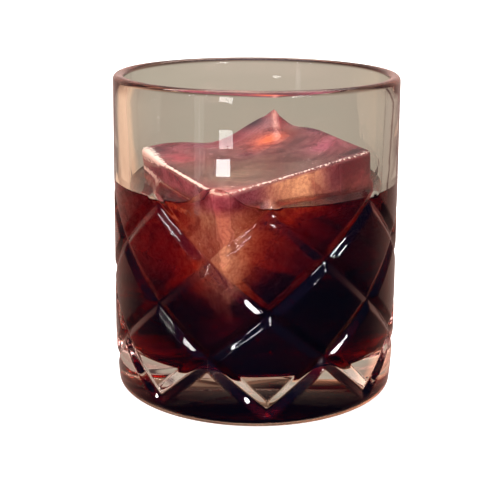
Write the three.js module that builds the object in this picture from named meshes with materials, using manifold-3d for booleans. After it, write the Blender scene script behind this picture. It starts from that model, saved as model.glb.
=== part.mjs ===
// A black russian in a cut-glass tumbler, with one large ice cube floating in the drink.
// Millimetres, +Z up. The origin is the centre of the foot, on the table. The front is -Y.
import * as THREE from "three";
import { mergeVertices } from "three/addons/utils/BufferGeometryUtils.js";
import Module from "manifold-3d";

// Sizes of the glass: outside
const GLASS_HEIGHT = 93.9;
const RIM_RADIUS = 42.0;
const WIDEST_RADIUS = 43.0;
const WIDEST_HEIGHT = 20.0;
const TUCK_AT_FOOT = 1.1;
const LIP_RADIUS = 1.6;
const HEEL_RADIUS = 1.0;

// Sizes of the glass: inside and underside
const MOUTH_RADIUS = 38.7;
const CAVITY_FLOOR_RADIUS = 37.3;
const CAVITY_FLOOR_HEIGHT = 12.8;
const CAVITY_FILLET = 5.0;
const RECESS_RADIUS = 37.0;
const RECESS_DEPTH = 4.0;

// Sizes of the crossed grooves, cut as V channels that run from node to node
const NODES_ROUND = 8;
const NODE_TURN = THREE.MathUtils.degToRad(4.98);
const ROW_HEIGHTS = [4.8, 19.6, 33.3, 48.0, 62.3];
const GROOVE_HALF_WIDTH = 2.5;
const GROOVE_DEPTH = 1.2;

// Sizes of the drink
const DRINK_LEVEL = 61.8;
const DRINK_GAP = 0.3;
const MENISCUS_RISE = 0.9;
const MENISCUS_REACH = 1.3;
const CLIMB_RISE = 4.8;
const CLIMB_HALF_WIDTH = 6.2;
const CLIMB_SHARPNESS = 2.6;
const CLIMB_REACH = 3.5;
const CLIMB_ANGLE = THREE.MathUtils.degToRad(-15.8);

// Sizes and place of the ice cube. Its top is dished, and lower along the two back edges.
const ICE_SIDE = 50.2;
const ICE_ROUNDING = 1.5;
const ICE_CENTRE = new THREE.Vector3(0.4, -0.9, 47.1);
const ICE_TURN = new THREE.Euler(
  THREE.MathUtils.degToRad(4.7),
  THREE.MathUtils.degToRad(-8.5),
  THREE.MathUtils.degToRad(32.3),
  "ZXY",
);
const ICE_DISH = 3.0;
const BACK_LEFT_HOLLOW = { depth: 4.6, fromCorner: 23, halfLength: 13, reach: 14 };
const BACK_RIGHT_HOLLOW = { depth: 2.1, fromCorner: 11, halfLength: 8, reach: 9 };
const ICE_GAP = 0.35;
const ICE_WALL_GAP = 1.2;

// How finely the solids are faceted
const SECTORS = 2 * NODES_ROUND;
const SECTOR_ANGLE = (2 * Math.PI) / SECTORS;
const DRINK_COLUMNS = 60;
const ICE_DIVISIONS = 10;
const LIP_STEPS = 5;
const HEEL_STEPS = 2;
const FILLET_STEPS = 3;
const RECESS_STEPS = 4;
const DRINK_SURFACE_INSETS = [8, 4, 2, 0.8, 0];

// Faces smaller than this have shrunk to a line, and points closer than this are one point
const LEAST_FACE = 1e-5;
const MERGE_DISTANCE = 1e-4;

// Sizes that follow from the groove's width and the node spacing, on the unrolled wall
const SECTOR_WIDTH = SECTOR_ANGLE * WIDEST_RADIUS;

// Radius of the plain outer wall at a height: widest low down, narrower at the rim and the foot.
function outerRadius(z) {
  const taper = (RIM_RADIUS - WIDEST_RADIUS) / (GLASS_HEIGHT - WIDEST_HEIGHT);
  const tuck = Math.max(0, 1 - z / WIDEST_HEIGHT);
  return WIDEST_RADIUS + taper * (z - WIDEST_HEIGHT) - TUCK_AT_FOOT * tuck ** 2;
}

// Radius of the plain inner wall at a height, above the fillet.
function innerRadius(z) {
  const share = (z - CAVITY_FLOOR_HEIGHT) / (GLASS_HEIGHT - CAVITY_FLOOR_HEIGHT);
  return CAVITY_FLOOR_RADIUS + (MOUTH_RADIUS - CAVITY_FLOOR_RADIUS) * share;
}

// Slope of the grooves in one band between two rows of nodes.
function bandShape(band) {
  const rise = ROW_HEIGHTS[band + 1] - ROW_HEIGHTS[band];
  const length = Math.hypot(SECTOR_WIDTH, rise);
  return { rise, cos: SECTOR_WIDTH / length, sin: rise / length };
}

// Shares of a sector where columns stand. The groove's edges meet the rows of nodes at one of them.
function columnShares() {
  const { sin } = bandShape(1);
  const edge = GROOVE_HALF_WIDTH / sin / SECTOR_WIDTH;
  return [0, edge / 2, edge, 0.5, 1 - edge, 1 - edge / 2];
}

// Every column round the glass: its angle from the front, its sector and its share of it.
function glassColumns() {
  const columns = [];
  for (let sector = 0; sector < SECTORS; sector++) {
    for (const share of columnShares()) {
      columns.push({ angle: NODE_TURN + (sector + share) * SECTOR_ANGLE, sector, share });
    }
  }
  return columns;
}

function ringPoint(angle, radius, z) {
  return new THREE.Vector3(radius * Math.sin(angle), -radius * Math.cos(angle), z);
}

// A ring at one height and radius.
function plainRing(columns, radius, z) {
  return columns.map(({ angle }) => ringPoint(angle, radius, z));
}

// Share of a sector between a column and the node of a row that is next to it.
function shareFromNode(column, row) {
  return (column.sector + row) % 2 === 0 ? column.share : 1 - column.share;
}

// A point of a band of grooves. The offset is the height over the groove's bottom line.
function bandPoint(column, band, offset) {
  const { rise, cos } = bandShape(band);
  const low = ROW_HEIGHTS[band];
  const bottomLine = low + rise * shareFromNode(column, band);
  const z = THREE.MathUtils.clamp(bottomLine + offset, low, low + rise);
  const distance = Math.abs(z - bottomLine) * cos;
  const depth = GROOVE_DEPTH * Math.max(0, 1 - distance / GROOVE_HALF_WIDTH);
  return ringPoint(column.angle, outerRadius(z) - depth, z);
}

// The rings of one band: its lower row, the two edges of the groove and the bottom line between.
function bandRings(columns, band) {
  const { rise, cos } = bandShape(band);
  const edge = GROOVE_HALF_WIDTH / cos;
  return [-rise, -edge, 0, edge].map((offset) => columns.map((column) => bandPoint(column, band, offset)));
}

// The ring where the rounded ends of the grooves run out, above the top row or below the bottom one.
function endRing(columns, row, side) {
  const { sin, cos } = bandShape(row === 0 ? 0 : row - 1);
  return columns.map((column) => {
    const x = shareFromNode(column, row) * SECTOR_WIDTH;
    const round = Math.sqrt(Math.max(0, GROOVE_HALF_WIDTH ** 2 - x ** 2));
    const straight = Math.max(0, (GROOVE_HALF_WIDTH - x * sin) / cos);
    const z = ROW_HEIGHTS[row] + side * (x < GROOVE_HALF_WIDTH * sin ? round : straight);
    return ringPoint(column.angle, outerRadius(z), z);
  });
}

// Rings along an arc of a section, from one angle to another.
function arcRings(columns, centreRadius, centreHeight, radius, from, to, steps) {
  const rings = [];
  for (let i = 0; i <= steps; i++) {
    const t = THREE.MathUtils.degToRad(THREE.MathUtils.lerp(from, to, i / steps));
    rings.push(plainRing(columns, centreRadius + radius * Math.cos(t), centreHeight + radius * Math.sin(t)));
  }
  return rings;
}

// A closed skin over rings that run from the axis underneath, round the outside, to the axis again.
// The first and the last ring are single points. Faces that have shrunk to a line are left out.
function skin(rings) {
  const positions = [];
  const addFace = (a, b, c) => {
    const area = b.clone().sub(a).cross(c.clone().sub(a)).length();
    if (area > LEAST_FACE) {
      positions.push(...a.toArray(), ...b.toArray(), ...c.toArray());
    }
  };
  for (let i = 0; i + 1 < rings.length; i++) {
    const lower = rings[i];
    const upper = rings[i + 1];
    const count = Math.max(lower.length, upper.length);
    for (let j = 0; j < count; j++) {
      const next = (j + 1) % count;
      const corners = [lower[j % lower.length], lower[next % lower.length]];
      corners.push(upper[next % upper.length], upper[j % upper.length]);
      addFace(corners[0], corners[1], corners[2]);
      addFace(corners[0], corners[2], corners[3]);
    }
  }
  return new THREE.BufferGeometry().setAttribute("position", new THREE.Float32BufferAttribute(positions, 3));
}

// The underside: a shallow dome inside a flat foot ring.
function undersideRings(columns) {
  const rings = [[new THREE.Vector3(0, 0, RECESS_DEPTH)]];
  for (let i = 1; i <= RECESS_STEPS; i++) {
    const share = i / RECESS_STEPS;
    rings.push(plainRing(columns, RECESS_RADIUS * share, RECESS_DEPTH * (1 - share ** 2)));
  }
  return rings;
}

// The inside: the wall, the fillet and the flat floor. Inset gives a skin that stays off the wall.
function insideRings(columns, inset) {
  const floorHeight = CAVITY_FLOOR_HEIGHT + inset;
  const fillet = CAVITY_FILLET - inset;
  const filletTop = floorHeight + fillet;
  const centre = innerRadius(filletTop) - inset - fillet;
  const rings = arcRings(columns, centre, filletTop, fillet, 0, -90, FILLET_STEPS);
  rings.push([new THREE.Vector3(0, 0, floorHeight)]);
  return rings;
}

// The tumbler, cut with crossed grooves below a plain band.
function glassGeometry() {
  const columns = glassColumns();
  const heelCentre = outerRadius(HEEL_RADIUS) - HEEL_RADIUS;
  const lipHeight = GLASS_HEIGHT - LIP_RADIUS;
  const lipOuter = outerRadius(lipHeight) - LIP_RADIUS;
  const lipInner = innerRadius(lipHeight) + LIP_RADIUS;
  const topRow = ROW_HEIGHTS.length - 1;
  const rings = [...undersideRings(columns)];
  rings.push(...arcRings(columns, heelCentre, HEEL_RADIUS, HEEL_RADIUS, -90, 0, HEEL_STEPS));
  rings.push(endRing(columns, 0, -1));
  for (let band = 0; band < topRow; band++) {
    rings.push(...bandRings(columns, band));
  }
  rings.push(columns.map((column) => bandPoint(column, topRow - 1, ROW_HEIGHTS[topRow])));
  rings.push(endRing(columns, topRow, 1));
  rings.push(...arcRings(columns, lipOuter, lipHeight, LIP_RADIUS, 0, 90, LIP_STEPS));
  rings.push(...arcRings(columns, lipInner, lipHeight, LIP_RADIUS, 90, 180, LIP_STEPS));
  rings.push(...insideRings(columns, 0));
  return skin(rings);
}

// Height of the drink's surface at an angle and a distance in from its edge. It curls up at the
// wall, and climbs where the ice cube's front corner comes close to the glass.
function drinkHeight(angle, inward) {
  const along = Math.abs(angle - CLIMB_ANGLE) * innerRadius(DRINK_LEVEL);
  const climb = CLIMB_RISE * Math.exp(-((along / CLIMB_HALF_WIDTH) ** CLIMB_SHARPNESS));
  const curl = MENISCUS_RISE * Math.exp(-inward / MENISCUS_REACH);
  return DRINK_LEVEL + curl + climb * Math.exp(-((inward / CLIMB_REACH) ** 2));
}

// The drink before the ice is cut out of it.
function drinkGeometry() {
  const columns = [];
  for (let i = 0; i < DRINK_COLUMNS; i++) {
    columns.push({ angle: ((i + 0.5) / DRINK_COLUMNS) * 2 * Math.PI - Math.PI });
  }
  const topRings = DRINK_SURFACE_INSETS.map((inward) =>
    columns.map(({ angle }) => {
      const z = drinkHeight(angle, inward);
      return ringPoint(angle, innerRadius(z) - DRINK_GAP - inward, z);
    }),
  );
  const centre = [new THREE.Vector3(0, 0, DRINK_LEVEL)];
  // The rings run down from the surface to the floor, so the skin is turned to face out.
  const downwards = [centre, ...topRings, ...insideRings(columns, DRINK_GAP)];
  return skin(downwards.reverse());
}

const icePlace = new THREE.Matrix4().compose(
  ICE_CENTRE,
  new THREE.Quaternion().setFromEuler(ICE_TURN),
  new THREE.Vector3(1, 1, 1),
);

// How deep a hollow is at a distance along its edge from the raised corner, and in from its edge.
function hollowDepth(hollow, along, inward) {
  const share = (along - hollow.fromCorner) / hollow.halfLength;
  return hollow.depth * Math.exp(-(share ** 2) - inward / hollow.reach);
}

// How far the top of the ice has melted below a plain cube's, at a place on it.
function topMelt(x, y) {
  const half = ICE_SIDE / 2;
  const dish = ICE_DISH * (1 - (x / half) ** 2) * (1 - (y / half) ** 2);
  const backLeft = hollowDepth(BACK_LEFT_HOLLOW, half - x, half - y);
  const backRight = hollowDepth(BACK_RIGHT_HOLLOW, half - y, half - x);
  return dish + backLeft + backRight;
}

// Where the ice comes near the glass it has melted to the curve of the wall.
function wornToWall(point, gap) {
  const world = point.clone().applyMatrix4(icePlace);
  const shrink = Math.min(1, (innerRadius(world.z) - gap) / Math.hypot(world.x, world.y));
  world.x *= shrink;
  world.y *= shrink;
  return world.applyMatrix4(icePlace.clone().invert());
}

// The ice cube about its own centre. Grow makes it larger all round, to cut its bed in the drink.
function iceGeometry(grow) {
  const half = ICE_SIDE / 2;
  const core = half - ICE_ROUNDING;
  const box = new THREE.BoxGeometry(...Array(3).fill(ICE_SIDE), ...Array(3).fill(ICE_DIVISIONS));
  const point = new THREE.Vector3();
  const positions = box.getAttribute("position");
  for (let i = 0; i < positions.count; i++) {
    point.fromBufferAttribute(positions, i);
    const melt = topMelt(point.x, point.y) * THREE.MathUtils.smoothstep(point.z, 0, core);
    const inner = point.clone().clampScalar(-core, core);
    const outward = point.clone().sub(inner).normalize();
    point.copy(inner).addScaledVector(outward, ICE_ROUNDING + grow);
    point.z -= melt;
    const worn = wornToWall(point, ICE_WALL_GAP - grow);
    positions.setXYZ(i, worn.x, worn.y, worn.z);
  }
  return box;
}

// Cutting the ice's bed out of the drink
const wasm = await Module();
wasm.setup();

function solidOf(geometry) {
  geometry.deleteAttribute("normal");
  geometry.deleteAttribute("uv");
  const merged = mergeVertices(geometry, MERGE_DISTANCE);
  const vertProperties = new Float32Array(merged.getAttribute("position").array);
  const triVerts = new Uint32Array(merged.index.array);
  return new wasm.Manifold(new wasm.Mesh({ numProp: 3, vertProperties, triVerts }));
}

function geometryOf(solid) {
  const mesh = solid.getMesh();
  const geometry = new THREE.BufferGeometry();
  geometry.setAttribute("position", new THREE.BufferAttribute(mesh.vertProperties, 3));
  geometry.setIndex(new THREE.BufferAttribute(mesh.triVerts, 1));
  return geometry;
}

const iceBed = iceGeometry(ICE_GAP).applyMatrix4(icePlace);
const cutDrink = geometryOf(solidOf(drinkGeometry()).subtract(solidOf(iceBed)));

// Colours and finishes
const clearGlass = { color: 0xdedcd2, roughness: 0.03, metalness: 0, transparent: true, opacity: 0.35 };
const darkDrink = { color: 0x3a0f0c, roughness: 0.05, metalness: 0 };
const clearIce = { color: 0xd9c4bd, roughness: 0.15, metalness: 0, transparent: true, opacity: 0.6 };

function namedMesh(name, geometry, finish) {
  const mesh = new THREE.Mesh(geometry, new THREE.MeshStandardMaterial(finish));
  mesh.name = name;
  return mesh;
}

const glass = namedMesh("glass", glassGeometry(), clearGlass);
const drink = namedMesh("drink", cutDrink, darkDrink);
const iceCube = namedMesh("ice_cube", iceGeometry(0), clearIce);
iceCube.position.copy(ICE_CENTRE);
iceCube.rotation.copy(ICE_TURN);

const blackRussian = new THREE.Group();
blackRussian.add(glass, drink, iceCube);

export default blackRussian;
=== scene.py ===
"""The finished look of a black russian: a cut-glass tumbler, the dark drink and one large ice cube.

The file is laid out as an add-on and run as a script. Every size is in metres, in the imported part's frame:
+Z is up, the origin is the centre of the foot, and the front of the glass is -Y.
"""

import math
from functools import partial

import bmesh
import bpy
import numpy as np
from bpy.props import FloatProperty, FloatVectorProperty, IntProperty, PointerProperty
from mathutils import Matrix, Vector
from mathutils.bvhtree import BVHTree


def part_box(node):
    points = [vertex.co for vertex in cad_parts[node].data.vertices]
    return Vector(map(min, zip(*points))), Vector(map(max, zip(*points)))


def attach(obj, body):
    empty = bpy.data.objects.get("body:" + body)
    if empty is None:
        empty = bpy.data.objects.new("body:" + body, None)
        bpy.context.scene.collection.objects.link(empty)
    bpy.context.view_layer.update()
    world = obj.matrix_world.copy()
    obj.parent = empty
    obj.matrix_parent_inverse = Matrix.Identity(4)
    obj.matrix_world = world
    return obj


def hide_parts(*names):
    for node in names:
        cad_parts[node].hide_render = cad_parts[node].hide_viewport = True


bl_info = {
    "name": "Black russian in a cut-glass tumbler",
    "version": (1, 0, 0),
    "blender": (4, 5, 0),
    "location": "3D View > Sidebar > Drink",
    "description": "Makes the glass, the drink, the ice and the studio round the packed part",
    "category": "Add Mesh",
}

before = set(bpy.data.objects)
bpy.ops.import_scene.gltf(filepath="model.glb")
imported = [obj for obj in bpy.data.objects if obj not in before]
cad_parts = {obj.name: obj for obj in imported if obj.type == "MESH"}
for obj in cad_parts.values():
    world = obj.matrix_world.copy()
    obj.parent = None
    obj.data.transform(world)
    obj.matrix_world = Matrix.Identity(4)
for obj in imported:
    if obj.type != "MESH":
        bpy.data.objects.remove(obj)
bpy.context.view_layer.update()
GLASS_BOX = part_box("glass")
MM = 0.001


# Settings that a user would change

def length(name, description, default):
    return FloatProperty(name=name, description=description, default=default, subtype="DISTANCE")


class GlassSettings(bpy.types.PropertyGroup):
    """Sizes of the tumbler."""

    height: length("Height", "Foot to rim", GLASS_BOX[1].z)
    widest_radius: length("Widest radius", "Outer radius low on the body", 43.0 * MM)
    rim_radius: length("Rim radius", "Outer radius at the rim", 42.0 * MM)
    widest_height: length("Widest height", "Height of the widest place", 20.0 * MM)
    foot_tuck: length("Foot tuck", "How far the foot draws in", 1.1 * MM)
    lip_radius: length("Lip radius", "Rounding of the rim", 1.6 * MM)
    heel_radius: length("Heel radius", "Rounding of the heel", 1.0 * MM)
    mouth_radius: length("Mouth radius", "Inner radius at the rim", 38.7 * MM)
    floor_radius: length("Floor radius", "Inner radius at the floor", 37.3 * MM)
    floor_height: length("Floor height", "Thickness of the base", 12.8 * MM)
    floor_fillet: length("Floor fillet", "Rounding between wall and floor", 5.0 * MM)
    recess_radius: length("Recess radius", "Radius of the dome under the base", 37.0 * MM)
    recess_depth: length("Recess depth", "Depth of the dome under the base", 4.0 * MM)


class LatticeSettings(bpy.types.PropertyGroup):
    """Sizes of the crossed grooves."""

    nodes_round: IntProperty(
        name="Nodes round", description="Crossings in one row", default=8, min=3)
    turn: FloatProperty(
        name="Turn", description="Angle of the first crossing from the front",
        default=math.radians(4.98), subtype="ANGLE")
    rows: FloatVectorProperty(
        name="Rows", description="Heights of the rows of crossings", size=5,
        default=(4.8 * MM, 19.6 * MM, 33.3 * MM, 48.0 * MM, 62.3 * MM), subtype="TRANSLATION")
    half_width: length("Half width", "From a groove's bottom to its edge", 2.5 * MM)
    depth: length("Depth", "Depth of a groove", 1.2 * MM)
    rounding: length("Rounding", "Rounding of a groove's bottom", 0.15 * MM)


class DrinkSettings(bpy.types.PropertyGroup):
    """Level, edge and strength of the drink."""

    level: length("Level", "Height of the flat surface", 61.8 * MM)
    curl: length("Curl", "How far the surface climbs at a wall", 0.9 * MM)
    curl_reach: length("Curl reach", "How fast the curl fades", 1.3 * MM)
    climb: length("Climb", "Rise where the ice nears the glass", 4.8 * MM)
    climb_half_width: length("Climb half width", "Half width of that rise", 6.2 * MM)
    climb_reach: length("Climb reach", "How far in that rise goes", 3.5 * MM)
    climb_angle: FloatProperty(
        name="Climb angle", description="Where that rise is, from the front",
        default=math.radians(-15.8), subtype="ANGLE")
    density: FloatProperty(
        name="Density", description="How much light a metre of the drink takes low down",
        default=620.0, min=0)
    thinned: FloatProperty(
        name="Thinned", description="The same at the surface, where melted ice thins it",
        default=205.0, min=0)


class IceSettings(bpy.types.PropertyGroup):
    """Size and place of the ice cube."""

    side: length("Side", "Side of the cube", 50.2 * MM)
    rounding: length("Rounding", "Rounding of the edges", 1.5 * MM)
    centre: FloatVectorProperty(
        name="Centre", description="Centre of the cube", size=3,
        default=(0.4 * MM, -0.9 * MM, 47.1 * MM), subtype="TRANSLATION")
    turn: FloatVectorProperty(
        name="Turn", description="Turns about X, Y and Z", size=3,
        default=(math.radians(4.7), math.radians(-8.5), math.radians(32.3)), subtype="EULER")
    dish: length("Dish", "How far the middle of the top has melted", 3.0 * MM)
    wall_gap: length("Wall gap", "Least distance to the glass", 1.2 * MM)
    divisions: IntProperty(
        name="Divisions", description="Faces along an edge", default=84, min=8)


# Colours are written as sRGB hex values and turned to linear in one place.
def linear(hex_colour):
    channels = [int(hex_colour[i:i + 2], 16) / 255 for i in (1, 3, 5)]
    return (*[c / 12.92 if c <= 0.04045 else ((c + 0.055) / 1.055) ** 2.4 for c in channels], 1.0)


def add_node(tree, kind, settings=None, inputs=None, stops=()):
    """Adds a node with its settings, its inputs and, on a ramp, its stops of place and colour.

    An input is a value, a socket to link from, or a node whose first output is linked.
    """
    made = tree.nodes.new(kind)
    for name, value in (settings or {}).items():
        setattr(made, name, value)
    for name, value in (inputs or {}).items():
        if isinstance(value, bpy.types.Node):
            value = value.outputs[0]
        if isinstance(value, bpy.types.NodeSocket):
            tree.links.new(value, made.inputs[name])
        else:
            made.inputs[name].default_value = value
    for i, (place, colour) in enumerate(stops):
        stop = made.color_ramp.elements[i] if i < 2 else made.color_ramp.elements.new(place)
        stop.position = place
        stop.color = linear(colour)
    return made


def new_material(name):
    material = bpy.data.materials.new(name)
    material.use_nodes = True
    material.node_tree.nodes.clear()
    return material


# How light bends at each border. What touches the drink bends it by the ratio of the two.
GLASS_IOR = 1.50
DRINK_IOR = 1.40
ICE_IOR = 1.31


def pressed_glass():
    """Soda-lime glass, pressed and fire-polished: clear, with the faint ripple of the mould."""
    material = new_material("pressed_soda_lime_glass")
    tree = material.node_tree
    wetted = add_node(tree, "ShaderNodeAttribute", {"attribute_name": "wetted"})
    bend = add_node(tree, "ShaderNodeMapRange", inputs={
        "Value": wetted.outputs["Fac"], "To Min": GLASS_IOR, "To Max": GLASS_IOR / DRINK_IOR})
    place = add_node(tree, "ShaderNodeTexCoord")
    ripple = add_node(tree, "ShaderNodeTexNoise", inputs={
        "Vector": place.outputs["Object"], "Scale": 1 / (9 * MM), "Detail": 1.0, "Roughness": 0.4})
    bump = add_node(tree, "ShaderNodeBump", inputs={
        "Height": ripple, "Strength": 0.25, "Distance": 0.15 * MM})
    shader = add_node(tree, "ShaderNodeBsdfPrincipled", inputs={
        "Base Color": linear("#fdfdfb"), "Roughness": 0.0, "IOR": bend, "Transmission Weight": 1.0,
        "Normal": bump})
    add_node(tree, "ShaderNodeOutputMaterial", inputs={"Surface": shader})
    return material


# Where melted ice thins the drink: higher up and past the ice's front corner. It also thins sooner on the
# left, which is painted light: the drink is lighter on the side the light comes from.
THINNED_FROM = 24 * MM
THINNED_TO = 54 * MM
PAINTED_LEFT_LIGHT_LEAN = 0.75
CORNER_PLACE = (-11 * MM, -34 * MM, 50 * MM)
CORNER_REACH = (4 * MM, 17 * MM)
CORNER_FLATTENING = 0.45
CORNER_DENSITY = 0.12


def coffee_drink(drink):
    """Vodka and coffee liqueur: clear, near black where deep, and red-brown where melted ice thins it. Its
    left side is lighter as painted light.
    """
    material = new_material("vodka_and_coffee_liqueur")
    tree = material.node_tree
    open_air = add_node(tree, "ShaderNodeAttribute", {"attribute_name": "open_air"})
    bend = add_node(tree, "ShaderNodeMapRange", inputs={
        "Value": open_air.outputs["Fac"], "To Min": 1.0, "To Max": DRINK_IOR})
    shader = add_node(tree, "ShaderNodeBsdfPrincipled", inputs={
        "Base Color": linear("#ffffff"), "Roughness": 0.0, "IOR": bend, "Transmission Weight": 1.0})
    place = add_node(tree, "ShaderNodeTexCoord").outputs["Object"]
    # The height leans so that the left side is lighter: painted light from the left
    height = add_node(tree, "ShaderNodeVectorMath", {"operation": "DOT_PRODUCT"}, {
        0: place, 1: (-PAINTED_LEFT_LIGHT_LEAN, 0, 1)})
    layer = add_node(tree, "ShaderNodeMapRange", {"interpolation_type": "SMOOTHSTEP"}, {
        "Value": height.outputs["Value"], "From Min": THINNED_FROM, "From Max": THINNED_TO,
        "To Min": drink.density, "To Max": drink.thinned})
    x, y, z = CORNER_PLACE
    past_corner = add_node(tree, "ShaderNodeVectorMath", {"operation": "MULTIPLY_ADD"}, {
        0: place, 1: (1, 1, CORNER_FLATTENING), 2: (-x, -y, -CORNER_FLATTENING * z)})
    distance = add_node(tree, "ShaderNodeVectorMath", {"operation": "LENGTH"}, {
        0: past_corner.outputs["Vector"]})
    run = add_node(tree, "ShaderNodeMapRange", {"interpolation_type": "SMOOTHSTEP"}, {
        "Value": distance.outputs["Value"], "From Min": CORNER_REACH[0], "From Max": CORNER_REACH[1],
        "To Min": CORNER_DENSITY, "To Max": 1.0})
    density = add_node(tree, "ShaderNodeMath", {"operation": "MULTIPLY"}, {0: layer, 1: run})
    depth = add_node(tree, "ShaderNodeVolumeAbsorption", inputs={
        "Color": (0.79, 0.27, 0.0, 1), "Density": density})
    add_node(tree, "ShaderNodeOutputMaterial", inputs={"Surface": shader, "Volume": depth})
    return material


def melting_ice():
    """Clear melting ice. Its wet, clouded parts take the drink's tint. Its front edges are white with frost
    and painted highlight, and a painted highlight runs along the drink's edge on its left face.
    """
    material = new_material("clear_melting_ice")
    tree = material.node_tree
    wetted = add_node(tree, "ShaderNodeAttribute", {"attribute_name": "wetted"})
    bend = add_node(tree, "ShaderNodeMapRange", inputs={
        "Value": wetted.outputs["Fac"], "To Min": ICE_IOR, "To Max": ICE_IOR / DRINK_IOR})
    cloud = add_node(tree, "ShaderNodeAttribute", {"attribute_name": "cloud"})
    tint = add_node(tree, "ShaderNodeAttribute", {"attribute_name": "tint"})
    frost_and_highlight = add_node(tree, "ShaderNodeAttribute", {"attribute_name": "frost_and_highlight"})
    place = add_node(tree, "ShaderNodeTexCoord")
    grain = add_node(tree, "ShaderNodeTexNoise", inputs={
        "Vector": place.outputs["Object"], "Scale": 1 / (0.9 * MM), "Detail": 3.0, "Roughness": 0.7})
    drift = add_node(tree, "ShaderNodeTexNoise", inputs={
        "Vector": place.outputs["Object"], "Scale": 1 / (9 * MM), "Detail": 4.0, "Distortion": 0.9})
    # Veins and specks make the tint uneven
    veined = add_node(tree, "ShaderNodeMapRange", inputs={
        "Value": drift, "From Min": 0.42, "From Max": 0.6, "To Max": 0.7})
    speckled = add_node(tree, "ShaderNodeMapRange", inputs={
        "Value": grain, "From Min": 0.42, "From Max": 0.6, "To Max": 0.55})
    deeper = add_node(tree, "ShaderNodeMixRGB", {"blend_type": "MULTIPLY"}, {
        0: veined, 1: tint.outputs["Color"], 2: linear("#a8687a")})
    uneven = add_node(tree, "ShaderNodeMixRGB", {"blend_type": "MULTIPLY"}, {
        0: speckled, 1: deeper, 2: linear("#c090a0")})
    # Frost and painted highlight are broken up by the grain
    crumbled = add_node(tree, "ShaderNodeMapRange", inputs={
        "Value": grain, "From Min": 0.35, "From Max": 0.6, "To Min": -0.35, "To Max": 0.25})
    broken = add_node(tree, "ShaderNodeMath", {"operation": "ADD"}, {0: frost_and_highlight.outputs["Fac"], 1: crumbled})
    white = add_node(tree, "ShaderNodeMapRange", inputs={"Value": broken, "From Min": 0.3, "From Max": 0.7})
    colour = add_node(tree, "ShaderNodeMixRGB", inputs={0: white, 1: uneven, 2: linear("#f6efe4")})
    share = add_node(tree, "ShaderNodeMath", {"operation": "MAXIMUM"}, {0: cloud.outputs["Fac"], 1: white})
    clear = add_node(tree, "ShaderNodeMath", {"operation": "SUBTRACT"}, {0: 1.0, 1: share})
    rough = add_node(tree, "ShaderNodeMapRange", inputs={
        "Value": share, "From Min": 0.45, "To Min": 0.03, "To Max": 0.45})
    bump = add_node(tree, "ShaderNodeBump", inputs={
        "Height": grain, "Strength": 0.5, "Distance": 0.12 * MM})
    shader = add_node(tree, "ShaderNodeBsdfPrincipled", inputs={
        "Base Color": colour, "Roughness": rough, "IOR": bend, "Transmission Weight": clear,
        "Normal": bump})
    add_node(tree, "ShaderNodeOutputMaterial", inputs={"Surface": shader})
    return material


# Shared shapes

def outer_radius(glass, z):
    """Radius of the plain outer wall: widest low down, narrower at the rim and the foot."""
    taper = (glass.rim_radius - glass.widest_radius) / (glass.height - glass.widest_height)
    tuck = np.maximum(0, 1 - z / glass.widest_height)
    return glass.widest_radius + taper * (z - glass.widest_height) - glass.foot_tuck * tuck ** 2


def inner_radius(glass, z):
    """Radius of the plain inner wall above the fillet."""
    share = (z - glass.floor_height) / (glass.height - glass.floor_height)
    return glass.floor_radius + (glass.mouth_radius - glass.floor_radius) * share


def arc(centre_radius, centre_height, radius, start, end, steps):
    """Points of a section, radius and height, along an arc between two angles in degrees."""
    turns = np.radians(np.linspace(start, end, steps + 1))
    return [(centre_radius + radius * math.cos(t), centre_height + radius * math.sin(t)) for t in turns]


def inside_section(glass, inset, steps):
    """The section of the inside from the wall's foot to the axis, at a distance in from the glass."""
    floor = glass.floor_height + inset
    fillet = glass.floor_fillet - inset
    centre = float(inner_radius(glass, floor + fillet)) - inset - fillet
    points = arc(centre, floor + fillet, fillet, 0, -90, steps)
    points += [(r, floor) for r in np.linspace(centre, 0, 9)[1:-1]]
    return points


def new_object(name, vertices, faces, smooth=True):
    mesh = bpy.data.meshes.new(name)
    mesh.from_pydata([tuple(v) for v in vertices], [], faces)
    mesh.validate()
    mesh.polygons.foreach_set("use_smooth", [smooth] * len(mesh.polygons))
    made = bpy.data.objects.new(name, mesh)
    bpy.context.scene.collection.objects.link(made)
    return made


def apply_modifiers(piece):
    """Turns the evaluated object into a plain mesh and drops its modifiers."""
    graph = bpy.context.evaluated_depsgraph_get()
    made = bpy.data.meshes.new_from_object(piece.evaluated_get(graph))
    piece.modifiers.clear()
    piece.data = made


def face_centres(mesh):
    """Angle from the front, radius and height of each face's centre."""
    centres = np.empty(3 * len(mesh.polygons))
    mesh.polygons.foreach_get("center", centres)
    x, y, z = centres.reshape(-1, 3).T
    return np.arctan2(x, -y), np.hypot(x, y), z


def mark(mesh, name, values, domain="FACE"):
    """Writes a number or a colour for each face or point, for the materials to read."""
    values = np.asarray(values, np.float32)
    if values.ndim == 1:
        mesh.attributes.new(name, "FLOAT", domain).data.foreach_set("value", values)
    else:
        mesh.attributes.new(name, "FLOAT_COLOR", domain).data.foreach_set("color", values.ravel())


def smooth_step(low, high, values):
    share = np.clip((values - low) / (high - low), 0, 1)
    return share ** 2 * (3 - 2 * share)


def climb_height(drink, glass, angles):
    """How far the drink's edge climbs where the ice nears the glass, for each angle from the front."""
    turn = (angles - drink.climb_angle + math.pi) % (2 * math.pi) - math.pi
    along = np.abs(turn) * float(inner_radius(glass, drink.level))
    return drink.climb * np.exp(-(along / drink.climb_half_width) ** 2.6)


def contact_height(drink, glass, angles):
    """Height at which the drink's edge clings to the glass, for each angle from the front."""
    return drink.level + drink.curl + climb_height(drink, glass, angles)


def ring_points(angles, radii, heights):
    """Points on rings: one row for each ring. Radii and heights have a value for each ring or point."""
    radii = np.broadcast_to(np.asarray(radii, float), (len(angles),))
    heights = np.broadcast_to(np.asarray(heights, float), (len(angles),))
    return np.stack([radii * np.sin(angles), -radii * np.cos(angles), heights], axis=-1)


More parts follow.
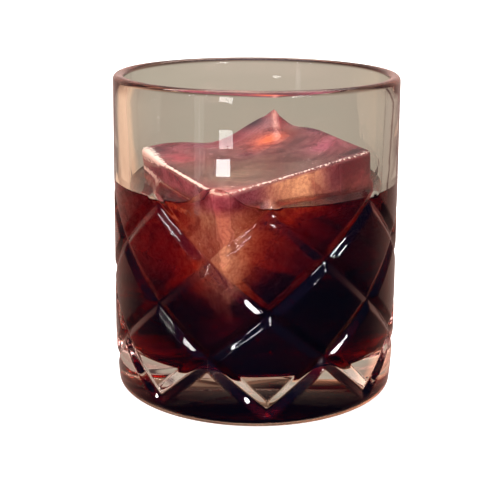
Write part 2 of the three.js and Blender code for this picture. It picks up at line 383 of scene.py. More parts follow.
def closed_skin(rings, split=None):
    """Vertices and faces over rings that start and end at the axis. Split says how a square is cut in two."""
    count = len(rings[0])
    vertices = [rings[0].mean(axis=0)]
    vertices += [p for ring in rings for p in ring]
    vertices.append(rings[-1].mean(axis=0))
    vertices[0] = (0.0, 0.0, vertices[0][2])
    vertices[-1] = (0.0, 0.0, vertices[-1][2])
    last = len(vertices) - 1
    faces = []
    for j in range(count):
        k = (j + 1) % count
        faces.append((0, 1 + k, 1 + j))
        faces.append((last, last - count + j, last - count + k))
    for i in range(len(rings) - 1):
        low = 1 + i * count
        high = low + count
        for j in range(count):
            k = (j + 1) % count
            way = split(i, j) if split else 0
            corners = (low + j, low + k, high + k, high + j)
            if way > 0:
                faces += [corners[:3], (corners[0], corners[2], corners[3])]
            elif way < 0:
                faces += [(corners[0], corners[1], corners[3]), corners[1:]]
            else:
                faces.append(corners)
    return vertices, faces


# The glass

# Squares between two crossings, and the rounding of a groove's edges as a share of its depth
SECTOR_STEPS = 25
EDGE_ROUNDING = 0.06


def glass_section(glass, lattice):
    """The section from the underside's centre, round the foot and up the outside, over the rim to its inside,
    and the indices of the cut wall.
    """
    rows = list(lattice.rows)
    reach = lattice.half_width
    dome = [(r, glass.recess_depth * (1 - (r / glass.recess_radius) ** 2))
            for r in np.linspace(0.02, 1, 20) * glass.recess_radius]
    heel_centre = float(outer_radius(glass, glass.heel_radius)) - glass.heel_radius
    section = dome + [(glass.recess_radius + 2 * MM, 0.0)]
    section += arc(heel_centre, glass.heel_radius, glass.heel_radius, -90, 0, 7)
    first = len(section) - 1
    heights = list(np.linspace(rows[0] - reach, rows[0], 8)[:-1])
    for low, high in zip(rows, rows[1:]):
        heights += list(np.linspace(low, high, SECTOR_STEPS + 1)[:-1])
    heights += list(np.linspace(rows[-1], rows[-1] + reach, 8))
    section += [(float(outer_radius(glass, z)), z) for z in heights if z > glass.heel_radius]
    last = len(section)
    lip = glass.height - glass.lip_radius
    section += [(float(outer_radius(glass, z)), z) for z in np.linspace(heights[-1], lip, 7)[1:-1]]
    section += arc(float(outer_radius(glass, lip)) - glass.lip_radius, lip, glass.lip_radius, 0, 90, 8)
    section += arc(float(inner_radius(glass, lip)) + glass.lip_radius, lip, glass.lip_radius, 90, 180, 8)
    return section, first, last


def glass_blank(glass, lattice, drink):
    """The plain turned glass. Its cut wall's squares are halved along the grooves that will run there."""
    columns = 2 * lattice.nodes_round * SECTOR_STEPS
    angles = lattice.turn + np.arange(columns) * 2 * math.pi / columns
    section, first, last = glass_section(glass, lattice)
    rings = [ring_points(angles, r, z) for r, z in section]
    # The inner wall has a ring along the drink's edge, and others shared out above and below
    edge = contact_height(drink, glass, angles)
    lip = glass.height - glass.lip_radius
    foot = glass.floor_height + glass.floor_fillet
    levels = [lip + (edge - lip) * share for share in np.linspace(0, 1, 7)[1:]]
    levels += [edge + (foot - edge) * share for share in np.linspace(0, 1, 9)[1:-1]]
    rings += [ring_points(angles, inner_radius(glass, z), z) for z in levels]
    rings += [ring_points(angles, r, z) for r, z in inside_section(glass, 0, 8)]
    rows = np.array(lattice.rows)
    heights = np.array([z for _, z in section])

    def split(i, j):
        if not first < i < last:
            return 0
        middle = (heights[i] + heights[i + 1]) / 2
        if not rows[0] < middle < rows[-1]:
            return 0
        band = int(np.searchsorted(rows, middle)) - 1
        return 1 if (j // SECTOR_STEPS + band) % 2 == 0 else -1

    vertices, faces = closed_skin(rings, split)
    blank = new_object("glass_body", vertices, faces)
    ring_of_point = (np.arange(len(vertices)) - 1) // columns
    mark(blank.data, "cut_wall", (ring_of_point >= first) & (ring_of_point < last), "POINT")
    return blank


def lattice_tree():
    """Geometry nodes that press the crossed V grooves into the wall of a turned blank."""
    tree = bpy.data.node_groups.new("crossed_grooves", "GeometryNodeTree")
    face = tree.interface
    face.new_socket("Geometry", in_out="INPUT", socket_type="NodeSocketGeometry")
    for name in ("Nodes round", "Turn", "Sector width", "Half width", "Depth", "Rounding"):
        face.new_socket(name, in_out="INPUT", socket_type="NodeSocketFloat")
    for i in range(5):
        face.new_socket(f"Row {i + 1}", in_out="INPUT", socket_type="NodeSocketFloat")
    face.new_socket("Material", in_out="INPUT", socket_type="NodeSocketMaterial")
    face.new_socket("Geometry", in_out="OUTPUT", socket_type="NodeSocketGeometry")
    given = add_node(tree, "NodeGroupInput").outputs

    node = partial(add_node, tree)
    place = node("GeometryNodeInputPosition")
    split = node("ShaderNodeSeparateXYZ", inputs={0: place}).outputs
    # Across: how many sectors a point is from a crossing of the odd rows, folded to run from 0 to 1
    front = node("ShaderNodeMath", {"operation": "MULTIPLY"}, {0: split["Y"], 1: -1.0})
    angle = node("ShaderNodeMath", {"operation": "ARCTAN2"}, {0: split["X"], 1: front})
    turned = node("ShaderNodeMath", {"operation": "SUBTRACT"}, {0: angle, 1: given["Turn"]})
    per_radian = node("ShaderNodeMath", {"operation": "DIVIDE"}, {0: given["Nodes round"], 1: math.pi})
    sectors = node("ShaderNodeMath", {"operation": "MULTIPLY"}, {0: turned, 1: per_radian})
    across = node("ShaderNodeMath", {"operation": "PINGPONG"}, {0: sectors, 1: 1.0})
    # Up: how many rows a point is above the lowest, folded the same way
    bands = 0.0
    for i in range(1, 5):
        share = node("ShaderNodeMapRange", inputs={
            "Value": split["Z"], "From Min": given[f"Row {i}"], "From Max": given[f"Row {i + 1}"]})
        bands = node("ShaderNodeMath", {"operation": "ADD"}, {0: bands, 1: share})
    upward = node("ShaderNodeMath", {"operation": "PINGPONG"}, {0: bands, 1: 1.0})
    # The grooves' ends past the lowest and the highest row
    under = node("ShaderNodeMath", {"operation": "SUBTRACT"}, {0: given["Row 1"], 1: split["Z"]})
    over = node("ShaderNodeMath", {"operation": "SUBTRACT"}, {0: split["Z"], 1: given["Row 5"]})
    farther = node("ShaderNodeMath", {"operation": "MAXIMUM"}, {0: under, 1: over})
    past = node("ShaderNodeMath", {"operation": "MAXIMUM"}, {0: farther, 1: 0.0})
    # Distance from the groove, which runs from crossing to crossing
    spread = node("ShaderNodeMath", {"operation": "SUBTRACT"}, {0: given["Row 5"], 1: given["Row 1"]})
    pitch = node("ShaderNodeMath", {"operation": "DIVIDE"}, {0: spread, 1: 4.0})
    x = node("ShaderNodeMath", {"operation": "MULTIPLY"}, {0: across, 1: given["Sector width"]})
    rise = node("ShaderNodeMath", {"operation": "MULTIPLY"}, {0: upward, 1: pitch})
    y = node("ShaderNodeMath", {"operation": "SUBTRACT"}, {0: rise, 1: past})
    point = node("ShaderNodeCombineXYZ", inputs={"X": x, "Y": y})
    slope = node("ShaderNodeCombineXYZ", inputs={"X": given["Sector width"], "Y": pitch})
    way = node("ShaderNodeVectorMath", {"operation": "NORMALIZE"}, {0: slope})
    along = node("ShaderNodeVectorMath", {"operation": "DOT_PRODUCT"}, {0: point, 1: way})
    reach = node("ShaderNodeMath", {"operation": "MAXIMUM"}, {0: along.outputs["Value"], 1: 0.0})
    foot = node("ShaderNodeVectorMath", {"operation": "SCALE"}, {0: way, "Scale": reach})
    away = node("ShaderNodeVectorMath", {"operation": "DISTANCE"}, {0: point, 1: foot})
    # A V with a slightly rounded bottom and rounded edges
    corner = node("ShaderNodeCombineXYZ", inputs={"X": away.outputs["Value"], "Y": given["Rounding"]})
    softened = node("ShaderNodeVectorMath", {"operation": "LENGTH"}, {0: corner})
    part = node("ShaderNodeMath", {"operation": "DIVIDE"}, {
        0: softened.outputs["Value"], 1: given["Half width"]})
    left = node("ShaderNodeMath", {"operation": "SUBTRACT"}, {0: 1.0, 1: part})
    rounded = node("ShaderNodeMath", {"operation": "SMOOTH_MAX"}, {0: left, 1: 0.0, 2: EDGE_ROUNDING})
    wall = node("GeometryNodeInputNamedAttribute", {"data_type": "FLOAT"}, {"Name": "cut_wall"})
    depth = node("ShaderNodeMath", {"operation": "MULTIPLY"}, {0: rounded, 1: given["Depth"]})
    pressed = node("ShaderNodeMath", {"operation": "MULTIPLY"}, {0: depth, 1: wall})
    level = node("ShaderNodeVectorMath", {"operation": "MULTIPLY"}, {0: place, 1: (-1, -1, 0)})
    inward = node("ShaderNodeVectorMath", {"operation": "NORMALIZE"}, {0: level})
    offset = node("ShaderNodeVectorMath", {"operation": "SCALE"}, {0: inward, "Scale": pressed})
    moved = node("GeometryNodeSetPosition", inputs={"Geometry": given["Geometry"], "Offset": offset})
    real = node("GeometryNodeRealizeInstances", inputs={"Geometry": moved})
    done = node("GeometryNodeSetMaterial", inputs={"Geometry": real, "Material": given["Material"]})
    node("NodeGroupOutput", inputs={"Geometry": done})
    return tree


def set_inputs(modifier, values):
    """Sets a geometry nodes modifier's inputs by the identifiers of their sockets."""
    sockets = {s.name: s.identifier for s in modifier.node_group.interface.items_tree if s.in_out == "INPUT"}
    for name, value in values.items():
        modifier[sockets[name]] = value


def finish_piece(piece, node):
    """A finished piece rides on the one body, and the node it stands for is hidden."""
    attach(piece, "root")
    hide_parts(node)


class DRINK_OT_make_glass(bpy.types.Operator):
    """Makes the tumbler: a turned blank with crossed grooves pressed into its wall"""

    bl_idname = "drink.make_glass"
    bl_label = "Make the glass"

    def execute(self, context):
        scene = context.scene
        drink, glass, lattice = scene.drink_drink, scene.drink_glass, scene.drink_lattice
        piece = glass_blank(glass, lattice, drink)
        modifier = piece.modifiers.new("crossed_grooves", "NODES")
        modifier.node_group = lattice_tree()
        set_inputs(modifier, {
            "Nodes round": float(lattice.nodes_round), "Turn": lattice.turn,
            "Sector width": glass.widest_radius * math.pi / lattice.nodes_round,
            "Half width": lattice.half_width, "Depth": lattice.depth, "Rounding": lattice.rounding,
            **{f"Row {i + 1}": lattice.rows[i] for i in range(5)},
            "Material": pressed_glass(),
        })
        apply_modifiers(piece)
        angles, radii, heights = face_centres(piece.data)
        in_wall = radii < inner_radius(glass, heights) + 0.2 * MM
        inside = in_wall & (heights > glass.floor_height - 0.01 * MM)
        mark(piece.data, "wetted", inside & (heights < contact_height(drink, glass, angles)))
        finish_piece(piece, "glass")
        return {"FINISHED"}


# The ice

def ice_matrix(ice):
    # Turned about its own X, Y and Z in the order Z, X, Y
    turn = (Matrix.Rotation(ice.turn[2], 4, "Z") @ Matrix.Rotation(ice.turn[0], 4, "X")
            @ Matrix.Rotation(ice.turn[1], 4, "Y"))
    return Matrix.Translation(Vector(ice.centre)) @ turn


def hollow_depth(depth, from_corner, half_length, reach, along, inward):
    """Depth of a hollow beside the raised corner. Its four sizes are in millimetres."""
    share = (along - from_corner * MM) / (half_length * MM)
    return depth * MM * np.exp(-(share ** 2) - inward / (reach * MM))


def top_melt(ice, x, y):
    """How far the top has melted: a dish, and a hollow along each back edge beside the raised corner."""
    half = ice.side / 2
    dish = ice.dish * (1 - (x / half) ** 2) * (1 - (y / half) ** 2)
    back_left = hollow_depth(4.6, 23, 13, 14, half - x, half - y)
    back_right = hollow_depth(2.1, 11, 8, 9, half - y, half - x)
    return dish + back_left + back_right


def ice_shape(ice, glass, grow):
    """Points of the melted cube, in place, with their places on the plain cube and the mesh's faces."""
    cube = bmesh.new()
    bmesh.ops.create_cube(cube, size=ice.side)
    bmesh.ops.subdivide_edges(cube, edges=cube.edges[:], cuts=ice.divisions - 1, use_grid_fill=True)
    plain = np.array([v.co for v in cube.verts])
    faces = [tuple(v.index for v in f.verts) for f in cube.faces]
    cube.free()
    half = ice.side / 2
    core = half - ice.rounding
    # Squares near the edges are smaller, so that the rounding is smooth
    eased = np.sign(plain) * half * np.sin(np.abs(plain) / half * math.pi / 2) ** 0.9
    inner = np.clip(eased, -core, core)
    outward = eased - inner
    length = np.linalg.norm(outward, axis=1, keepdims=True)
    inside = np.clip(eased, -half + 1e-9, half - 1e-9)
    outward = np.where(length > 1e-9, outward / np.maximum(length, 1e-9), 0)
    points = inner + outward * (ice.rounding + grow)
    rise = np.clip(eased[:, 2] / core, 0, 1)
    points[:, 2] -= top_melt(ice, inside[:, 0], inside[:, 1]) * rise ** 2 * (3 - 2 * rise)
    matrix = np.array(ice_matrix(ice))
    world = points @ matrix[:3, :3].T + matrix[:3, 3]
    limit = inner_radius(glass, world[:, 2]) - ice.wall_gap + grow
    shrink = np.minimum(1, limit / np.hypot(world[:, 0], world[:, 1]))
    world[:, :2] *= shrink[:, None]
    return world, eased / half, faces


# Tints of the ice. Patches on the top: place and reach along the cube's sides, a tint and how cloudy.
CLEAR_ICE = "#f0dcd4"
ROSE_ICE = "#d88088"
TAN_ICE = "#ffd8a8"
TOP_PATCHES = [
    (-0.88, 0.78, 0.30, 0.26, "#20142c", 0.85), (-0.70, 0.38, 0.28, 0.22, "#b83858", 0.55),
    (-0.30, 0.82, 0.34, 0.20, "#80304c", 0.60), (0.22, 0.86, 0.34, 0.28, "#741428", 0.85),
    (0.64, 0.94, 0.26, 0.20, "#180e24", 0.95), (-0.35, -0.45, 0.60, 0.60, "#f0cca4", 0.14),
    (0.08, 0.22, 0.22, 0.15, "#642038", 0.65), (0.75, -0.45, 0.26, 0.26, "#c0647c", 0.50),
    (0.52, 0.38, 0.28, 0.22, "#ff7c44", 0.75), (0.80, -0.90, 0.34, 0.14, "#241020", 0.85),
    (0.96, 0.10, 0.12, 0.40, "#502038", 0.70)]
RIDGE_SLOPE = 1.57


def ice_clouding(plain):
    """Cloud, frost with painted highlight, and tint of the ice at each point. Plain runs from -1 to 1 along
    the cube's sides.

    The front corner is at -1, -1 and the raised one at 1, 1.
    """
    x, y, z = plain.T
    top = smooth_step(0.93, 0.99, z)
    left_side = smooth_step(0.93, 0.99, -x)
    left_face = left_side * (1 - top)
    right_face = smooth_step(0.93, 0.99, -y) * (1 - top)
    above = smooth_step(0.35, 0.6, z)
    tint = np.tile(linear(CLEAR_ICE), (len(x), 1))

    def paint(share, colour):
        tint[:] += np.clip(share, 0, 1)[:, None] * (np.array(linear(colour)) - tint)

    paint(0.9 * top, ROSE_ICE)
    cloud = 0.12 * top
    for along, across, reach, width, colour, cloudy in TOP_PATCHES:
        share = 0.95 * top * np.exp(-((x - along) / reach) ** 2 - ((y - across) / width) ** 2)
        paint(share, colour)
        cloud += cloudy * share
    # A pale ridge runs down from the raised corner
    off_ridge = (y - 1 + RIDGE_SLOPE * (1 - x)) / math.hypot(1, RIDGE_SLOPE)
    ridge = top * np.exp(-(off_ridge / 0.045) ** 2) * smooth_step(0.35, 0.8, x)
    paint(ridge, "#f4b8a8")
    # The left face is rose. The right one goes from rose to tan, and ends in dark red slush.
    paint(left_face * above, "#d07c8c")
    paint(right_face * above, "#b06070")
    tan = right_face * above * np.exp(-((x + 0.05) / 0.38) ** 4)
    paint(tan, "#fad09a")
    slush = smooth_step(0.38, 0.62, x) * right_face * above
    paint(slush, "#80202c")
    # The front upright edge is clouded from the surface down to its middle, and the left face fainter
    corner = np.exp(-((x + 1) + (y + 1)) / 0.55) * smooth_step(-0.45, 0.4, z)
    paint(1.5 * (1 - top) * corner * (1 - smooth_step(0.62, 0.85, z)), TAN_ICE)
    below = left_side * smooth_step(-0.65, 0.15, z) * (1 - above)
    paint(0.8 * below * (1 - corner), "#f09c84")
    cloud += 0.45 * ridge + (0.55 * left_face + 0.5 * right_face) * above
    cloud += 0.32 * tan + 0.4 * slush + 0.42 * below
    cloud = np.clip(np.maximum(cloud, 0.95 * corner), 0, 0.95)
    # White frost along the front edges, thick at the left corner, where it also paints the highlight along
    # the left edge. The line along the left face, at the drink's edge, is a painted highlight.
    thick = 0.03 + 0.09 * smooth_step(0.1, 0.8, y)
    from_left_edge = np.hypot(np.minimum(x + 1, 0.5), 1 - z)
    frost_and_highlight = np.exp(-(from_left_edge / thick) ** 2) * (x < 0) * (z > 0.5)
    from_right_edge = np.hypot(np.minimum(y + 1, 0.5), 1 - z)
    frost_and_highlight = np.maximum(frost_and_highlight, 0.55 * np.exp(-(from_right_edge / 0.03) ** 2) * (y < 0) * (z > 0.5))
    # A painted highlight: a white line along the left face where the drink meets the ice
    highlight_line = 0.64 + 0.12 * smooth_step(-0.4, 0.9, y)
    on_highlight_line = left_face * np.exp(-((z - highlight_line) / 0.034) ** 2)
    frost_and_highlight = np.maximum(frost_and_highlight, on_highlight_line * smooth_step(-0.7, -0.1, y))
    return cloud, frost_and_highlight, tint


class DRINK_OT_make_ice(bpy.types.Operator):
    """Makes the large ice cube, melted round and dished at the top"""

    bl_idname = "drink.make_ice"
    bl_label = "Make the ice"

    def execute(self, context):
        scene = context.scene
        drink, glass, ice = scene.drink_drink, scene.drink_glass, scene.drink_ice
        world, plain, faces = ice_shape(ice, glass, 0.0)
        piece = new_object("ice_block", world, faces)
        for name, values in zip(("cloud", "frost_and_highlight", "tint"), ice_clouding(plain)):
            mark(piece.data, name, values, "POINT")
        mark(piece.data, "wetted", face_centres(piece.data)[2] < drink.level + 0.5 * drink.curl)
        piece.data.materials.append(melting_ice())
        finish_piece(piece, "ice_cube")
        return {"FINISHED"}


# The drink

# How far the drink reaches into the glass and the ice
OVERLAP = 0.12 * MM


def drink_surface(drink, glass, angles, inward, ice_tree):
    """Heights of the drink's surface on one ring, a distance in from the wall."""
    radius = float(inner_radius(glass, drink.level)) - inward
    heights = drink.level + drink.curl * math.exp(-inward / drink.curl_reach)
    climb = climb_height(drink, glass, angles)
    heights = heights + climb * math.exp(-(inward / drink.climb_reach) ** 2)
    curls = []
    for point in ring_points(angles, radius, heights):
        distance = ice_tree.find_nearest(Vector(point))[3]
        curls.append(drink.curl * math.exp(-distance / drink.curl_reach))
    return heights + np.array(curls) * (1 - math.exp(-inward / drink.curl_reach))


def is_open_air(mesh, glass, ice_tree):
    """Whether each face is part of the drink's open surface, not against the glass or the ice."""
    points = np.array([v.co for v in mesh.vertices])
    wall = inner_radius(glass, points[:, 2]) + OVERLAP - 0.01 * MM
    low = points[:, 2] < glass.floor_height + glass.floor_fillet
    at_wall = low | (np.hypot(points[:, 0], points[:, 1]) > wall)
    at_ice = [ice_tree.find_nearest(v.co)[3] < 0.01 * MM for v in mesh.vertices]
    return [
        not all(at_wall[i] for i in face.vertices) and not all(at_ice[i] for i in face.vertices)
        for face in mesh.polygons]


class DRINK_OT_make_drink(bpy.types.Operator):
    """Makes the drink up to its level, reaching just into the glass and the ice"""

    bl_idname = "drink.make_drink"
    bl_label = "Make the drink"

    def execute(self, context):
        scene = context.scene
        drink, glass, ice = scene.drink_drink, scene.drink_glass, scene.drink_ice
        world, _, faces = ice_shape(ice, glass, -OVERLAP)
        ice_tree = BVHTree.FromPolygons([Vector(p) for p in world], faces)
        columns = 288
        angles = np.arange(columns) * 2 * math.pi / columns
        # The rings of the surface lie closest together at the wall, where it curls
        insets = list(np.array([0, 0.1, 0.25, 0.45, 0.7, 1.0, 1.4, 1.9]) * MM)
        insets += list(np.arange(2.5, 22, 0.55) * MM) + list(np.arange(24, 38, 4.5) * MM)
        rings = []
        for inset in reversed(insets):
            heights = drink_surface(drink, glass, angles, inset, ice_tree)
            rings.append(ring_points(angles, inner_radius(glass, heights) + OVERLAP - inset, heights))
        top = rings[-1][:, 2]
        foot = glass.floor_height + glass.floor_fillet
        for share in np.linspace(0, 1, 26)[1:-1]:
            heights = top + (foot - top) * share
            rings.append(ring_points(angles, inner_radius(glass, heights) + OVERLAP, heights))
        rings += [ring_points(angles, r, z) for r, z in inside_section(glass, -OVERLAP, 8)]
        vertices, faces_of_drink = closed_skin(rings[::-1])
        piece = new_object("drink_body", vertices, faces_of_drink)
        bed = new_object("ice_bed", world, faces)
        cut = piece.modifiers.new("ice_bed", "BOOLEAN")
        cut.operation = "DIFFERENCE"
        cut.solver = "MANIFOLD"
        cut.object = bed
        apply_modifiers(piece)
        bpy.data.objects.remove(bed)
        piece.data.polygons.foreach_set("use_smooth", [True] * len(piece.data.polygons))
        piece.data.set_sharp_from_angle(angle=math.radians(50))
        mark(piece.data, "open_air", is_open_air(piece.data, glass, ice_tree))
        piece.data.materials.clear()
        piece.data.materials.append(coffee_drink(drink))
        finish_piece(piece, "drink")
        return {"FINISHED"}


# The stage

CAMERA_PLACE = Vector((0, -321.7, 132.5)) * MM
CAMERA_YAW = math.radians(-0.285)
CAMERA_PITCH = math.radians(16.119)
CAMERA_ROLL = math.radians(0.411)
CAMERA_FOCUS = 1089.66 / 500


def make_camera(scene):
    """A camera at the photograph's viewing angle and distance."""
    forward = Vector((
        math.sin(CAMERA_YAW) * math.cos(CAMERA_PITCH),
        math.cos(CAMERA_YAW) * math.cos(CAMERA_PITCH),
        -math.sin(CAMERA_PITCH)))
    right = Vector((math.cos(CAMERA_YAW), -math.sin(CAMERA_YAW), 0))
    up = right.cross(forward)
    level = Matrix((right, up, -forward)).transposed()
    data = bpy.data.cameras.new("studio_camera")
    data.sensor_width = 36
    data.lens = CAMERA_FOCUS * data.sensor_width
    data.clip_start = 10 * MM
    camera = bpy.data.objects.new("studio_camera", data)
    camera.matrix_world = (
        Matrix.Translation(CAMERA_PLACE) @ level.to_4x4() @ Matrix.Rotation(CAMERA_ROLL, 4, "Z"))
    scene.collection.objects.link(camera)
    scene.camera = camera


# What the glass bends into view, and what it mirrors. Azimuths are from behind the glass, turning right.
BACKDROP_ROUND = [
    (-180, "#c8a8a4"), (-90, "#e0b0a8"), (-62, "#ffd0b0"), (-27, "#ffd6b4"), (-21, "#afa595"),
    (0, "#b9ae9d"), (29, "#b4a898"), (31, "#54443f"), (33, "#54443f"), (35, "#b3a797"),
    (60, "#b0a494"), (90, "#b8a49a"), (180, "#c8a8a4")]
BACKDROP_UP = [
    (-90, "#d8c0b4"), (-44, "#c8a498"), (-26, "#d0bcb4"), (-19, "#e8e0dc"),
    (-13, "#ffffff"), (5, "#ffffff"), (18, "#ffdce0"), (40, "#f6d0cc"), (60, "#fffaf5"), (90, "#ffffff")]
# A painted shadow low behind the glass, the glass's own shadow on the table: where it is round, and the
# backdrop's tints there
SHADOW_ROUND = [
    (-180, "#000000"), (-45, "#000000"), (-26, "#ffffff"), (-4, "#ffffff"), (4, "#c0c0c0"),
    (18, "#404040"), (40, "#000000"), (180, "#000000")]
SHADOW_UP = [
    (-90, "#c8b0a4"), (-52, "#b08c84"), (-44, "#745048"), (-38, "#1c1416"), (-29, "#2c2022"),
    (-22, "#a89890"), (-17, "#e4dcd8"), (-13, "#ffffff"), (10, "#ffffff"), (40, "#f6dcd4"),
    (60, "#fffaf5"), (90, "#ffffff")]
ROOM_ROUND = [
    (-180, "#4c5290"), (-100, "#44426c"), (-75, "#845868"), (-45, "#f0b0a0"), (-15, "#ffd8cc"),
    (15, "#ffd8cc"), (45, "#f0b0a0"), (75, "#845868"), (100, "#44426c"), (180, "#4c5290")]
ROOM_UP = [(-90, "#303030"), (-12, "#c0c0c0"), (10, "#ffffff"), (90, "#ffffff")]
CEILING_STRENGTH = 3.0
FRONT_STRENGTH = 7.5
# How far the backdrop's upright borders lean, in degrees of azimuth for one of elevation
UPRIGHT_LEAN = 1.5


def ramp(tree, angle, half_turn, stops):
    """A colour for an angle, from a ramp with stops in degrees over a turn or half of one."""
    share = add_node(tree, "ShaderNodeMapRange", inputs={
        "Value": angle, "From Min": -math.radians(half_turn), "From Max": math.radians(half_turn)})
    return add_node(tree, "ShaderNodeValToRGB", inputs={0: share},
                    stops=[((a + half_turn) / (2 * half_turn), c) for a, c in stops])


def multiply(tree, one, other):
    return add_node(tree, "ShaderNodeMixRGB", {"blend_type": "MULTIPLY"}, {0: 1.0, 1: one, 2: other})


def backdrop_colour(tree, azimuth, elevation):
    """What the glass bends into view: upright borders that lean, and the painted shadow of the glass low
    behind.
    """
    leaning = add_node(tree, "ShaderNodeMath", {"operation": "MULTIPLY_ADD"}, {
        0: elevation, 1: UPRIGHT_LEAN, 2: math.radians(13) * UPRIGHT_LEAN})
    near = add_node(tree, "ShaderNodeClamp", inputs={
        "Value": leaning, "Min": math.radians(-15), "Max": math.radians(15)})
    leant = add_node(tree, "ShaderNodeMath", {"operation": "ADD"}, {0: azimuth, 1: near})
    # The backdrop's tints, darkened low behind the glass by the painted shadow
    tints = add_node(tree, "ShaderNodeMixRGB", inputs={
        0: ramp(tree, azimuth, 180, SHADOW_ROUND), 1: ramp(tree, elevation, 90, BACKDROP_UP),
        2: ramp(tree, elevation, 90, SHADOW_UP)})
    return multiply(tree, ramp(tree, leant, 180, BACKDROP_ROUND), tints)


def light_strength(tree, azimuth, elevation, through_glass):
    """The ceiling is the main light, and the room in front lights the ice through the glass."""
    ceiling = add_node(tree, "ShaderNodeMapRange", inputs={
        "Value": elevation, "From Min": math.radians(40), "From Max": math.radians(65),
        "To Min": 1.0, "To Max": CEILING_STRENGTH})
    turned = add_node(tree, "ShaderNodeMath", {"operation": "ABSOLUTE"}, {0: azimuth})
    front = add_node(tree, "ShaderNodeMapRange", inputs={
        "Value": turned, "From Min": math.radians(90), "From Max": math.radians(140),
        "To Min": 0.0, "To Max": FRONT_STRENGTH - 1})
    high = add_node(tree, "ShaderNodeMapRange", inputs={
        "Value": elevation, "From Min": math.radians(-8), "From Max": math.radians(8)})
    above = add_node(tree, "ShaderNodeMath", {"operation": "MULTIPLY"}, {0: front, 1: high})
    only = add_node(tree, "ShaderNodeMath", {"operation": "MULTIPLY"}, {0: above, 1: through_glass})
    return add_node(tree, "ShaderNodeMath", {"operation": "ADD"}, {0: ceiling, 1: only})


def make_world(scene):
    """Plain white to the eye, a soft beige backdrop through the glass, and a dim room in its gloss."""
    world = bpy.data.worlds.new("soft_studio")
    world.use_nodes = True
    tree = world.node_tree
    tree.nodes.clear()
    way = add_node(tree, "ShaderNodeTexCoord").outputs["Generated"]
    split = add_node(tree, "ShaderNodeSeparateXYZ", inputs={0: way}).outputs
    azimuth = add_node(tree, "ShaderNodeMath", {"operation": "ARCTAN2"}, {0: split["X"], 1: split["Y"]})
    elevation = add_node(tree, "ShaderNodeMath", {"operation": "ARCSINE"}, {0: split["Z"]})
    backdrop = backdrop_colour(tree, azimuth, elevation)
    room = multiply(tree, ramp(tree, azimuth, 180, ROOM_ROUND), ramp(tree, elevation, 90, ROOM_UP))
    rays = add_node(tree, "ShaderNodeLightPath").outputs
    through = add_node(tree, "ShaderNodeMixRGB", inputs={
        0: rays["Is Transmission Ray"], 1: room, 2: backdrop})
    shiny = add_node(tree, "ShaderNodeMixRGB", inputs={
        0: rays["Is Glossy Ray"], 1: linear("#e8e4e0"), 2: through})
    bent = add_node(tree, "ShaderNodeMixRGB", inputs={
        0: rays["Is Camera Ray"], 1: shiny, 2: linear("#ffffff")})
    strength = light_strength(tree, azimuth, elevation, rays["Is Transmission Ray"])
    seen = add_node(tree, "ShaderNodeMixRGB", inputs={
        0: rays["Is Camera Ray"], 1: strength, 2: linear("#ffffff")})
    light = add_node(tree, "ShaderNodeBackground", inputs={"Color": bent, "Strength": seen})
    add_node(tree, "ShaderNodeOutputWorld", inputs={"Surface": light})
    scene.world = world


def make_floor():
    """A pale floor, which only the eye and soft light meet."""
    size = 4.0
    corners = [(-size, -size, 0), (size, -size, 0), (size, size, 0), (-size, size, 0)]
    floor = new_object("floor", np.array(corners) + (0, 0, -0.05 * MM), [(0, 1, 2, 3)], smooth=False)
    pale = new_material("pale_floor")
    tree = pale.node_tree
    painted = add_node(tree, "ShaderNodeBsdfDiffuse", inputs={"Color": linear("#ececec")})
    lit = add_node(tree, "ShaderNodeEmission", inputs={"Color": linear("#ffffff"), "Strength": 0.75})
    both = add_node(tree, "ShaderNodeAddShader", inputs={0: painted, 1: lit})
    add_node(tree, "ShaderNodeOutputMaterial", inputs={"Surface": both})
    floor.data.materials.append(pale)
    floor.visible_transmission = False
    floor.visible_glossy = False


def make_shade():
    """The dark place under the foot, which only the glass shows."""
    turns = np.radians(np.arange(0, 360, 7.5))
    rim = np.stack([np.cos(turns), np.sin(turns), 0 * turns], axis=-1) * 41 * MM
    shade = new_object("shade_under_foot", rim - (0, 0, 0.02 * MM), [tuple(range(len(turns)))], smooth=False)
    dark = new_material("shaded_table")
    tree = dark.node_tree
    black = add_node(tree, "ShaderNodeBsdfDiffuse", inputs={"Color": linear("#0c0a10")})
    add_node(tree, "ShaderNodeOutputMaterial", inputs={"Surface": black})
    shade.data.materials.append(dark)
    shade.visible_camera = False
    shade.visible_diffuse = False
    shade.visible_shadow = False


# Name, azimuth, elevation, distance in metres, size in metres, brightness, and a start in millimetres.
# The cut wall mirrors the windows as short bright lines, and the plain band the pane and the streak.
LAMPS = [
    ("window_right", 144, 17.5, 2.0, (0.64, 0.09), 40),
    ("window_right_low", 152, 7, 2.0, (0.18, 0.12), 40),
    ("window_left_high", -140, 19.5, 2.0, (0.70, 0.018), 45),
    ("window_left", -136, 15.5, 2.0, (0.60, 0.02), 35),
    ("window_left_low", -128, 2.5, 2.0, (0.05, 0.10), 50),
    ("pane", -154.8, -10.3, 0.095, (0.022, 0.0062), 18, (-8.6, -41.4, 73.8)),
    ("streak", -133.8, -8.4, 0.2, (0.018, 0.070), 0.9, (-15.5, -39.2, 80.0)),
    ("soft_top", 20, 70, 1.0, (0.8, 0.8), 1.5),
]


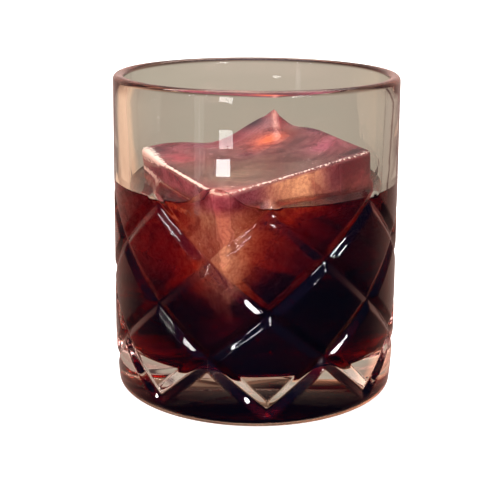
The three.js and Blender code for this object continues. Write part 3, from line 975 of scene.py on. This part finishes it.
def make_lamp(scene, name, azimuth, elevation, distance, size, radiance, start=(0, 0, 50)):
    """A rectangular lamp in a direction from a place in millimetres, with its brightness to the eye."""
    turn, rise = math.radians(azimuth), math.radians(elevation)
    middle = Vector(start) * MM
    way = Vector((math.sin(turn) * math.cos(rise), math.cos(turn) * math.cos(rise), math.sin(rise)))
    data = bpy.data.lights.new(name, "AREA")
    data.shape = "RECTANGLE"
    data.size, data.size_y = size
    data.energy = radiance * size[0] * size[1] * math.pi
    lamp = bpy.data.objects.new(name, data)
    facing = way.to_track_quat("Z", "Y").to_matrix().to_4x4()
    lamp.matrix_world = Matrix.Translation(middle + way * distance) @ facing
    lamp.visible_camera = False
    scene.collection.objects.link(lamp)


class DRINK_OT_make_stage(bpy.types.Operator):
    """Makes the camera, the floor, the backdrop and the lamps"""

    bl_idname = "drink.make_stage"
    bl_label = "Make the stage"

    def execute(self, context):
        scene = context.scene
        make_camera(scene)
        make_world(scene)
        make_floor()
        make_shade()
        for lamp in LAMPS:
            make_lamp(scene, *lamp)
        scene.view_settings.view_transform = "Standard"
        scene.cycles.max_bounces = 32
        scene.cycles.transmission_bounces = 32
        scene.cycles.glossy_bounces = 16
        return {"FINISHED"}


class DRINK_PT_panel(bpy.types.Panel):
    """Lists the steps that make the drink"""

    bl_label = "Black russian"
    bl_space_type = "VIEW_3D"
    bl_region_type = "UI"
    bl_category = "Drink"

    def draw(self, context):
        for step in OPERATORS:
            self.layout.operator(step.bl_idname)


SETTINGS = {
    "drink_glass": GlassSettings,
    "drink_lattice": LatticeSettings,
    "drink_drink": DrinkSettings,
    "drink_ice": IceSettings,
}
OPERATORS = (DRINK_OT_make_glass, DRINK_OT_make_ice, DRINK_OT_make_drink, DRINK_OT_make_stage)


def register():
    for kind in (*SETTINGS.values(), *OPERATORS, DRINK_PT_panel):
        bpy.utils.register_class(kind)
    for name, kind in SETTINGS.items():
        setattr(bpy.types.Scene, name, PointerProperty(type=kind))


def unregister():
    for name in SETTINGS:
        delattr(bpy.types.Scene, name)
    for kind in (*SETTINGS.values(), *OPERATORS, DRINK_PT_panel):
        bpy.utils.unregister_class(kind)


def main():
    register()
    bpy.ops.drink.make_glass()
    bpy.ops.drink.make_ice()
    bpy.ops.drink.make_drink()
    bpy.ops.drink.make_stage()


if __name__ == "__main__":
    main()
